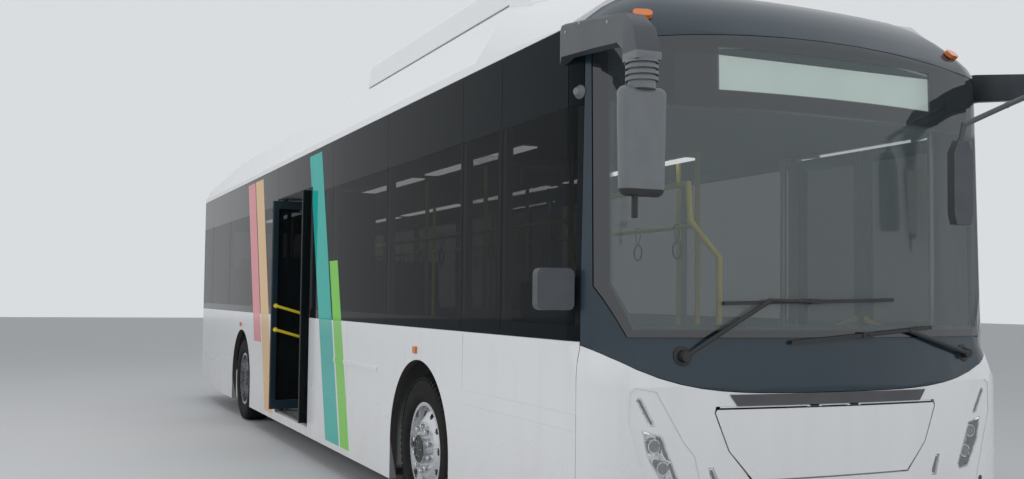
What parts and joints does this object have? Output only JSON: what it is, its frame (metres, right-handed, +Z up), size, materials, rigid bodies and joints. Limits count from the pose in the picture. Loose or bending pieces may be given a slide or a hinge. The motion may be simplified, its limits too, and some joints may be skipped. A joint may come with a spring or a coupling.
{
  "type": "airport passenger bus",
  "caption": "Twelve-metre low-entry airport passenger bus with right-hand drive, doors on both sides, roof fairing and a raked wrap-round nose.",
  "frame": {"origin": "on the floor under the middle of the bounding box, mirrors included", "axes": "+X forward along the bus, +Y to its left side, +Z up"},
  "size_m": [12.56, 2.9772, 3.38],
  "materials": {
    "body_white": "gloss",
    "mask_paint": "gloss",
    "frame_paint": "satin",
    "floor_cover": "matte",
    "clear_glass": "gloss",
    "dark_glass": "gloss",
    "lamp_glass": "gloss",
    "amber_lens": "gloss",
    "red_lens": "gloss",
    "grey_plastic": "satin",
    "black_plastic": "satin",
    "seat_fabric": "matte",
    "seat_plastic": "satin",
    "yellow_rail": "gloss",
    "bare_steel": "satin",
    "wheel_alloy": "gloss",
    "tyre_rubber": "matte"
  },
  "bodies": {
    "body": {"underframe": "frame_paint", "rear_frame": "frame_paint", "floor": "floor_cover", "floor_boxes": "floor_cover", "side_wall_right": "body_white", "side_wall_left": "body_white", "roof_shell": "body_white", "roof_units": "body_white", "front_mask": "mask_paint", "front_panel": "body_white", "front_trim": "mask_paint", "windscreen": "clear_glass", "side_windows": "dark_glass", "rear_wall": "body_white", "rear_window": "dark_glass", "head_lamps": "grey_plastic", "lamp_lenses": "lamp_glass", "marker_lamps": "amber_lens", "rear_lamps": "red_lens", "mirror_right": "grey_plastic", "mirror_left": "grey_plastic", "small_mirrors": "grey_plastic", "wipers": "black_plastic", "dashboard": "black_plastic", "steering_wheel": "black_plastic", "driver_seat": "seat_fabric", "driver_screen": "dark_glass", "passenger_seats": "seat_plastic", "handrails": "yellow_rail", "destination_sign": "black_plastic", "drive_pack": "frame_paint", "front_axle": "frame_paint", "rear_axle": "frame_paint"},
    "front_flap_body": {"front_flap": "body_white"},
    "rear_lid_body": {"rear_lid": "body_white"},
    "steer_right": {"knuckle_right": "bare_steel"},
    "steer_left": {"knuckle_left": "bare_steel"},
    "wheel_front_right": {"front_wheel_right": "wheel_alloy", "front_tyre_right": "tyre_rubber"},
    "wheel_front_left": {"front_wheel_left": "wheel_alloy", "front_tyre_left": "tyre_rubber"},
    "wheel_rear_right": {"rear_wheels_right": "wheel_alloy", "rear_tyres_right": "tyre_rubber"},
    "wheel_rear_left": {"rear_wheels_left": "wheel_alloy", "rear_tyres_left": "tyre_rubber"},
    "post_right_mid_rear_body": {"post_right_mid_rear": "bare_steel"},
    "leaf_right_mid_rear_body": {"leaf_right_mid_rear": "dark_glass"},
    "post_right_mid_front_body": {"post_right_mid_front": "bare_steel"},
    "leaf_right_mid_front_body": {"leaf_right_mid_front": "dark_glass"},
    "post_left_mid_rear_body": {"post_left_mid_rear": "bare_steel"},
    "leaf_left_mid_rear_body": {"leaf_left_mid_rear": "dark_glass"},
    "post_left_mid_front_body": {"post_left_mid_front": "bare_steel"},
    "leaf_left_mid_front_body": {"leaf_left_mid_front": "dark_glass"},
    "post_left_entry_rear_body": {"post_left_entry_rear": "bare_steel"},
    "leaf_left_entry_rear_body": {"leaf_left_entry_rear": "dark_glass"},
    "post_left_entry_front_body": {"post_left_entry_front": "bare_steel"},
    "leaf_left_entry_front_body": {"leaf_left_entry_front": "dark_glass"}
  },
  "joints": [
    {"name": "steer_right_pivot", "type": "hinge", "parent": "body", "child": "steer_right", "pos_m": [3.19, -0.92, 0.478], "axis": [0, 0, 1], "range_deg": [-40, 40]},
    {"name": "roll_front_right", "type": "hinge", "parent": "steer_right", "child": "wheel_front_right", "pos_m": [3.19, -1.08, 0.478], "axis": [0, 1, 0], "continuous": true},
    {"name": "roll_rear_right", "type": "hinge", "parent": "body", "child": "wheel_rear_right", "pos_m": [-3.13, -1.085, 0.478], "axis": [0, 1, 0], "continuous": true},
    {"name": "steer_left_pivot", "type": "hinge", "parent": "body", "child": "steer_left", "pos_m": [3.19, 0.92, 0.478], "axis": [0, 0, 1], "range_deg": [-40, 40]},
    {"name": "roll_front_left", "type": "hinge", "parent": "steer_left", "child": "wheel_front_left", "pos_m": [3.19, 1.08, 0.478], "axis": [0, 1, 0], "continuous": true},
    {"name": "roll_rear_left", "type": "hinge", "parent": "body", "child": "wheel_rear_left", "pos_m": [-3.13, 1.085, 0.478], "axis": [0, 1, 0], "continuous": true},
    {"name": "front_flap_hinge", "type": "hinge", "parent": "body", "child": "front_flap_body", "pos_m": [5.715, 0, 0.96], "axis": [0, -1, 0], "range_deg": [0, 75]},
    {"name": "rear_lid_hinge", "type": "hinge", "parent": "body", "child": "rear_lid_body", "pos_m": [-6.275, 0, 1.568], "axis": [0, 1, 0], "range_deg": [0, 75]},
    {"name": "post_right_mid_rear_turn", "type": "hinge", "parent": "body", "child": "post_right_mid_rear_body", "pos_m": [-1.25, -1.13, 1.2], "axis": [0, 0, 1], "range_deg": [-90, 0]},
    {"name": "leaf_right_mid_rear_turn", "type": "hinge", "parent": "post_right_mid_rear_body", "child": "leaf_right_mid_rear_body", "pos_m": [-1.15, -0.856, 1.2], "axis": [0, 0, 1], "range_deg": [0, 180]},
    {"name": "post_right_mid_front_turn", "type": "hinge", "parent": "body", "child": "post_right_mid_front_body", "pos_m": [0.24, -1.13, 1.2], "axis": [0, 0, 1], "range_deg": [0, 90]},
    {"name": "leaf_right_mid_front_turn", "type": "hinge", "parent": "post_right_mid_front_body", "child": "leaf_right_mid_front_body", "pos_m": [0.14, -0.856, 1.2], "axis": [0, 0, 1], "range_deg": [-180, 0]},
    {"name": "post_left_mid_rear_turn", "type": "hinge", "parent": "body", "child": "post_left_mid_rear_body", "pos_m": [-1.25, 1.13, 1.2], "axis": [0, 0, 1], "range_deg": [-90, 0]},
    {"name": "leaf_left_mid_rear_turn", "type": "hinge", "parent": "post_left_mid_rear_body", "child": "leaf_left_mid_rear_body", "pos_m": [-0.976, 1.23, 1.2], "axis": [0, 0, 1], "range_deg": [0, 180]},
    {"name": "post_left_mid_front_turn", "type": "hinge", "parent": "body", "child": "post_left_mid_front_body", "pos_m": [0.24, 1.13, 1.2], "axis": [0, 0, 1], "range_deg": [0, 90]},
    {"name": "leaf_left_mid_front_turn", "type": "hinge", "parent": "post_left_mid_front_body", "child": "leaf_left_mid_front_body", "pos_m": [-0.034, 1.23, 1.2], "axis": [0, 0, 1], "range_deg": [-180, 0]},
    {"name": "post_left_entry_rear_turn", "type": "hinge", "parent": "body", "child": "post_left_entry_rear_body", "pos_m": [3.87, 1.13, 1.2], "axis": [0, 0, 1], "range_deg": [-90, 0]},
    {"name": "leaf_left_entry_rear_turn", "type": "hinge", "parent": "post_left_entry_rear_body", "child": "leaf_left_entry_rear_body", "pos_m": [4.1065, 1.23, 1.2], "axis": [0, 0, 1], "range_deg": [0, 180]},
    {"name": "post_left_entry_front_turn", "type": "hinge", "parent": "body", "child": "post_left_entry_front_body", "pos_m": [5.21, 1.13, 1.2], "axis": [0, 0, 1], "range_deg": [0, 90]},
    {"name": "leaf_left_entry_front_turn", "type": "hinge", "parent": "post_left_entry_front_body", "child": "leaf_left_entry_front_body", "pos_m": [4.9735, 1.23, 1.2], "axis": [0, 0, 1], "range_deg": [-180, 0]}
  ],
  "couplings": [
    {"joint": "steer_left_pivot", "follows": "steer_right_pivot", "ratio": 1},
    {"joint": "post_right_mid_front_turn", "follows": "post_right_mid_rear_turn", "ratio": -1},
    {"joint": "leaf_right_mid_rear_turn", "follows": "post_right_mid_rear_turn", "ratio": -2},
    {"joint": "leaf_right_mid_front_turn", "follows": "post_right_mid_rear_turn", "ratio": 2},
    {"joint": "post_left_mid_front_turn", "follows": "post_left_mid_rear_turn", "ratio": -1},
    {"joint": "leaf_left_mid_rear_turn", "follows": "post_left_mid_rear_turn", "ratio": -2},
    {"joint": "leaf_left_mid_front_turn", "follows": "post_left_mid_rear_turn", "ratio": 2},
    {"joint": "post_left_entry_front_turn", "follows": "post_left_entry_rear_turn", "ratio": -1},
    {"joint": "leaf_left_entry_rear_turn", "follows": "post_left_entry_rear_turn", "ratio": -2},
    {"joint": "leaf_left_entry_front_turn", "follows": "post_left_entry_rear_turn", "ratio": 2}
  ]
}
